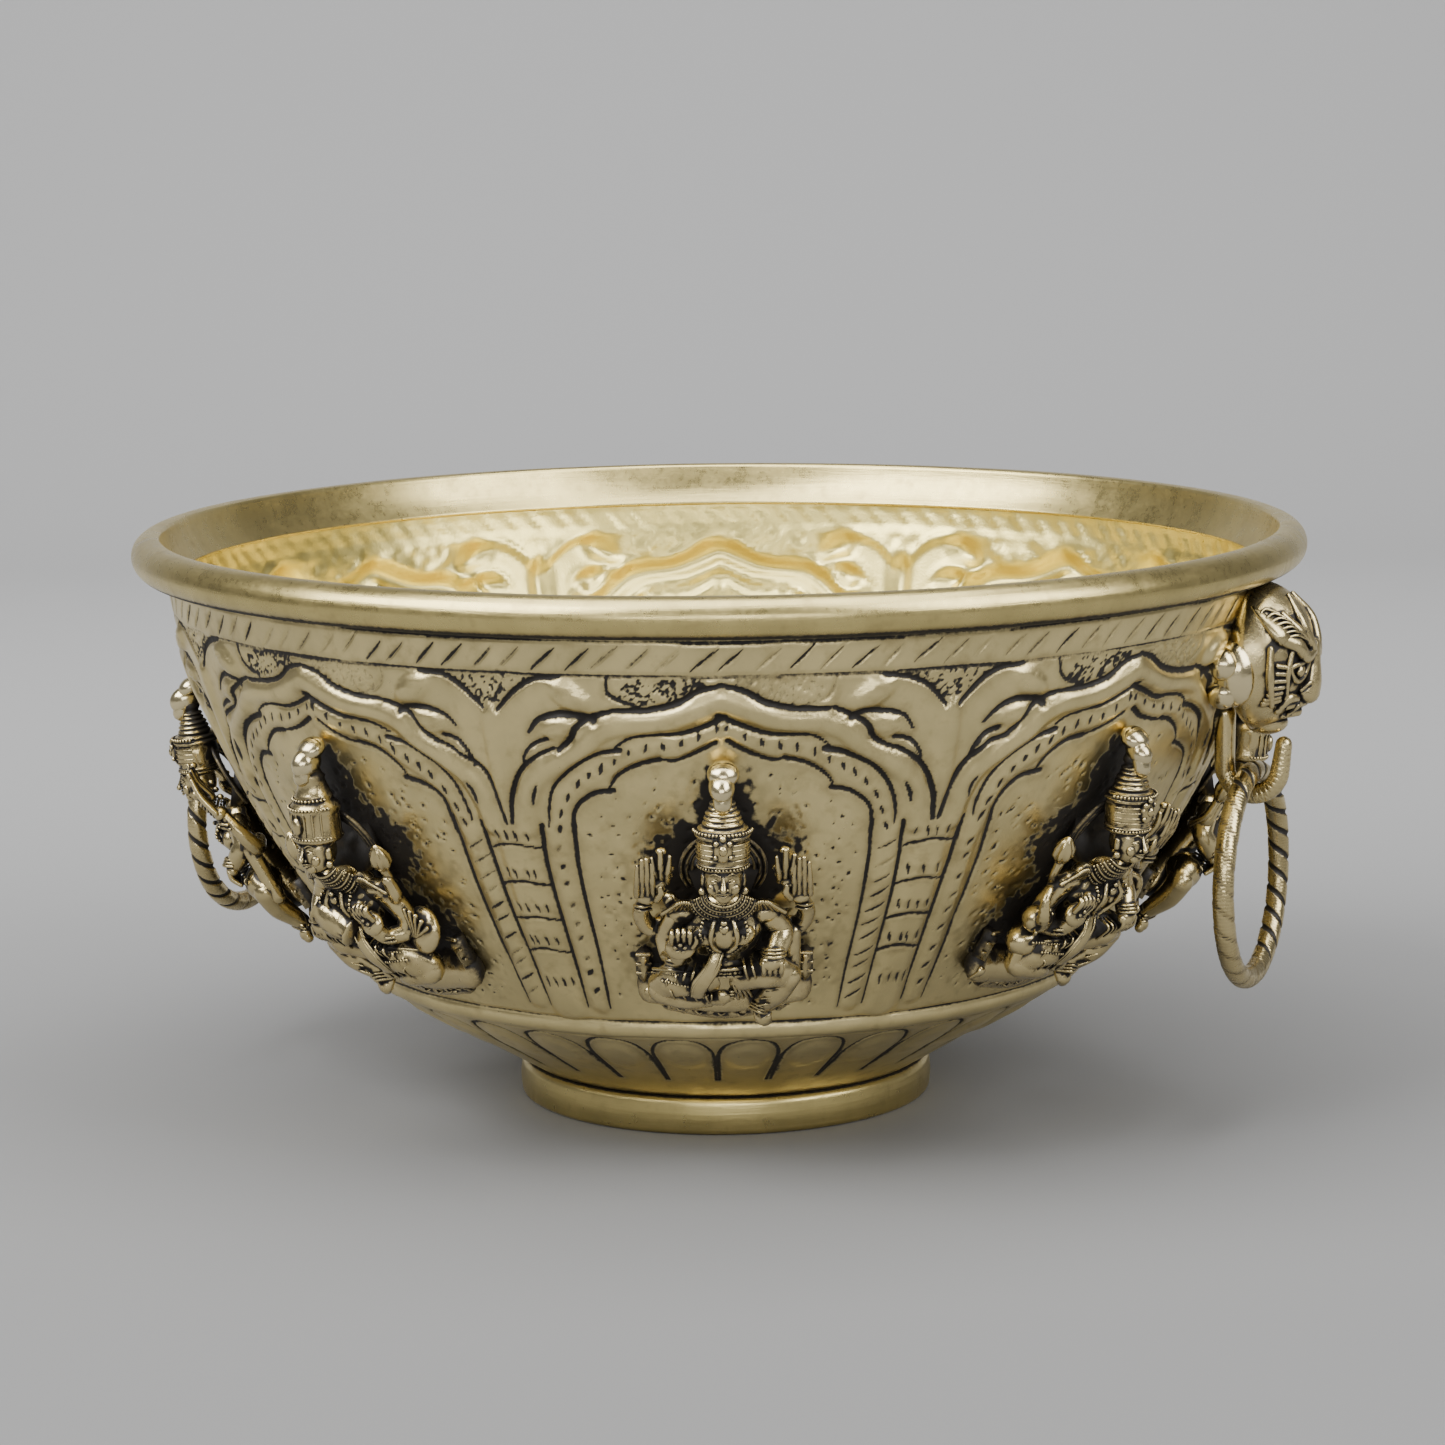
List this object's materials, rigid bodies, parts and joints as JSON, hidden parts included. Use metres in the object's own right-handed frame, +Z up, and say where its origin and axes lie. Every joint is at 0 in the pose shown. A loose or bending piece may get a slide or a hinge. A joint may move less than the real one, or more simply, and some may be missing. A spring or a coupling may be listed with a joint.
{
  "type": "brass urli bowl",
  "caption": "Round footed brass urli bowl with a rolled bead rim, engraved wall, cast seated figures and mask hooks with loose ring handles.",
  "frame": {"origin": "centre of the foot ring's underside, on the surface that the bowl stands on", "axes": "+Z up along the bowl's axis, +X through the right mask and ring handle, +Y away from a viewer who has +X to the right"},
  "size_m": [0.3116, 0.304, 0.1507],
  "materials": {
    "engraved_brass": "satin, antiqued: black in the engraved lines, polished on the raised parts",
    "satin_brass": "satin, fine turning grain",
    "antique_brass": "cast, dark patina in the recesses, rubbed bright on the high parts",
    "braze": "bright, smooth brazing brass"
  },
  "bodies": {
    "bowl": {"bowl_shell": "engraved_brass", "rim_bead": "satin_brass", "foot_ring": "satin_brass", "figure_1": "antique_brass", "figure_2": "antique_brass", "figure_3": "antique_brass", "figure_4": "antique_brass", "figure_5": "antique_brass", "figure_6": "antique_brass", "figure_7": "antique_brass", "figure_8": "antique_brass", "figure_braze": "braze", "mask_right": "antique_brass", "mask_left": "antique_brass", "mask_braze_right": "braze", "mask_braze_left": "braze"},
    "right_ring": {"ring_right": "antique_brass"},
    "left_ring": {"ring_left": "antique_brass"}
  },
  "joints": [
    {"name": "right_ring_swing", "type": "hinge", "parent": "bowl", "child": "right_ring", "pos_m": [0.1435, 0, 0.0923], "axis": [0, -1, 0], "range_deg": [-38, 160]},
    {"name": "left_ring_swing", "type": "hinge", "parent": "bowl", "child": "left_ring", "pos_m": [-0.1435, 0, 0.0923], "axis": [0, 1, 0], "range_deg": [-38, 160]}
  ]
}
